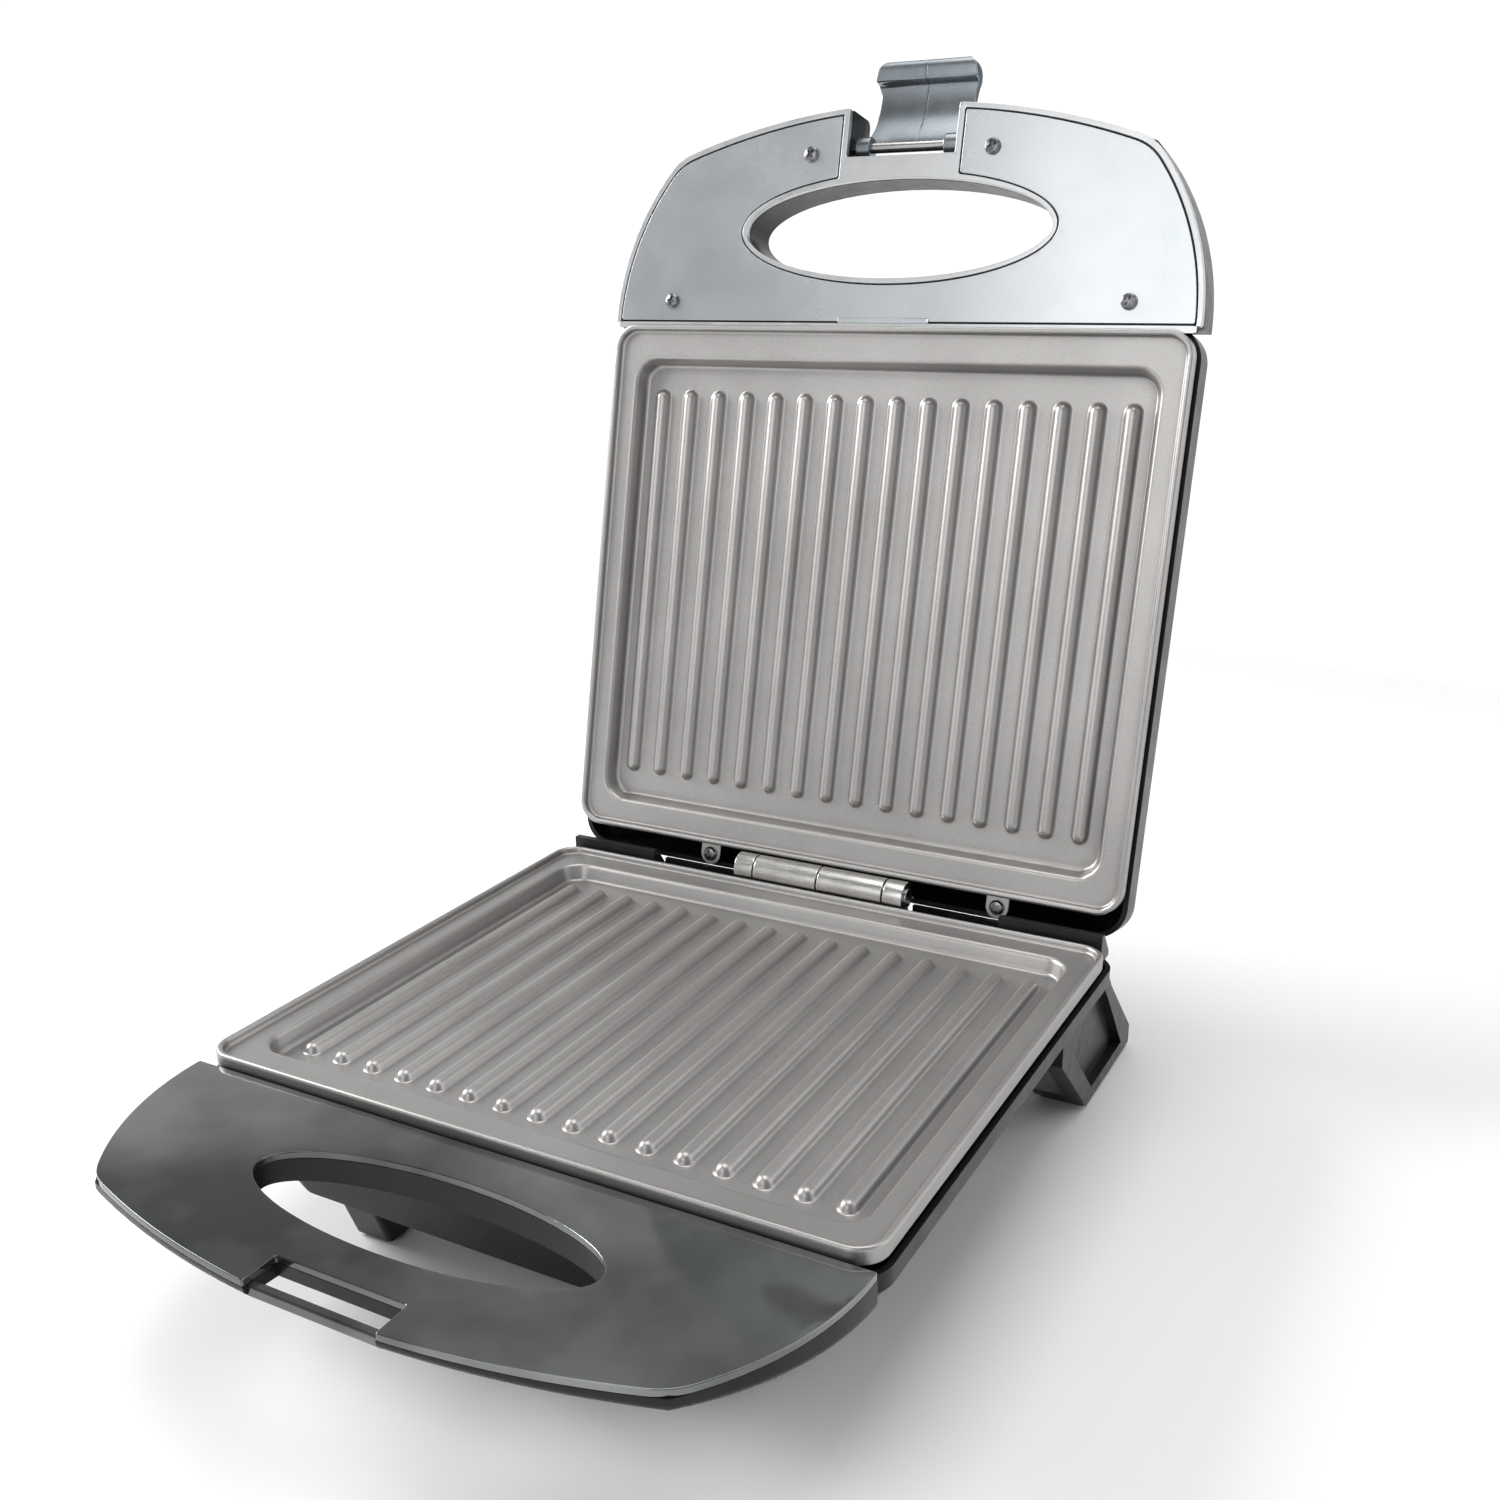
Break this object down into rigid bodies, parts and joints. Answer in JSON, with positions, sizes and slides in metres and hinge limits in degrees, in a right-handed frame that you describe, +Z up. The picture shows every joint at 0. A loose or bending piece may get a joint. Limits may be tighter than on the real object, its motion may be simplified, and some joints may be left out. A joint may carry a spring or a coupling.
{
  "type": "panini press",
  "caption": "Contact grill standing open: ribbed base plate and lid plate on a rear hinge, looped handles and a fold-over clip on the lid's handle.",
  "frame": {"origin": "centre of the whole press's footprint box, on the table under the feet", "axes": "+X to the right seen from the handles, -Y towards the handles, +Z up; the lid stands open at the rear"},
  "size_m": [0.2468, 0.4018, 0.3886],
  "materials": {
    "housing_plastic": "gloss",
    "handle_plastic": "gloss",
    "leg_plastic": "satin",
    "foot_rubber": "matte",
    "panel_metallic": "metallic gloss",
    "lid_panel_metallic": "metallic gloss",
    "frame_silver": "metallic satin",
    "plate_cast": "satin coated",
    "hinge_steel": "satin",
    "pin_steel": "satin",
    "latch_metallic": "metallic satin",
    "screw_steel": "satin",
    "tab_steel": "satin",
    "heater_steel": "satin",
    "shield_steel": "satin",
    "control_ceramic": "matte",
    "block_plastic": "matte",
    "gland_rubber": "matte",
    "lens_clear": "gloss",
    "lamp_glass": "gloss"
  },
  "bodies": {
    "base": {"base_housing": "housing_plastic", "base_handle_panel": "panel_metallic", "base_bottom_cover": "leg_plastic", "base_grill_plate": "plate_cast", "base_plate_tabs": "tab_steel", "base_plate_tab_screws": "screw_steel", "base_heating_element": "heater_steel", "base_element_clamps": "shield_steel", "base_heat_shield": "shield_steel", "base_thermostat": "control_ceramic", "thermal_fuse": "control_ceramic", "terminal_block": "block_plastic", "cord_gland": "gland_rubber", "rear_leg_left": "leg_plastic", "rear_leg_right": "leg_plastic", "front_foot_left": "leg_plastic", "front_foot_right": "leg_plastic", "foot_pads": "foot_rubber", "base_hinge_leaf": "hinge_steel", "base_hinge_screws": "screw_steel", "hinge_pin": "pin_steel", "base_catch_bar": "panel_metallic", "base_handle_screws": "screw_steel", "cover_screws": "screw_steel", "leg_screws": "screw_steel"},
    "lid": {"lid_housing": "handle_plastic", "lid_handle_frame": "frame_silver", "lid_handle_panel": "lid_panel_metallic", "lid_grill_plate": "plate_cast", "lid_plate_tabs": "tab_steel", "lid_plate_tab_screws": "screw_steel", "lid_heating_element": "heater_steel", "lid_element_clamps": "shield_steel", "lid_heat_shield": "shield_steel", "lid_thermostat": "control_ceramic", "lamp_lenses": "lens_clear", "indicator_lamps": "lamp_glass", "lid_hinge_leaf": "hinge_steel", "lid_hinge_screws": "screw_steel", "latch_pin": "pin_steel", "lid_handle_screws": "screw_steel"},
    "latch": {"latch_clip": "latch_metallic"}
  },
  "joints": [
    {"name": "lid_hinge", "type": "hinge", "parent": "base", "child": "lid", "pos_m": [0, 0.104, 0.074], "axis": [1, 0, 0], "range_deg": [0, 102.4]},
    {"name": "latch_hinge", "type": "hinge", "parent": "lid", "child": "latch", "pos_m": [0, 0.17887, 0.35631], "axis": [1, 0, 0], "range_deg": [0, 92]}
  ]
}
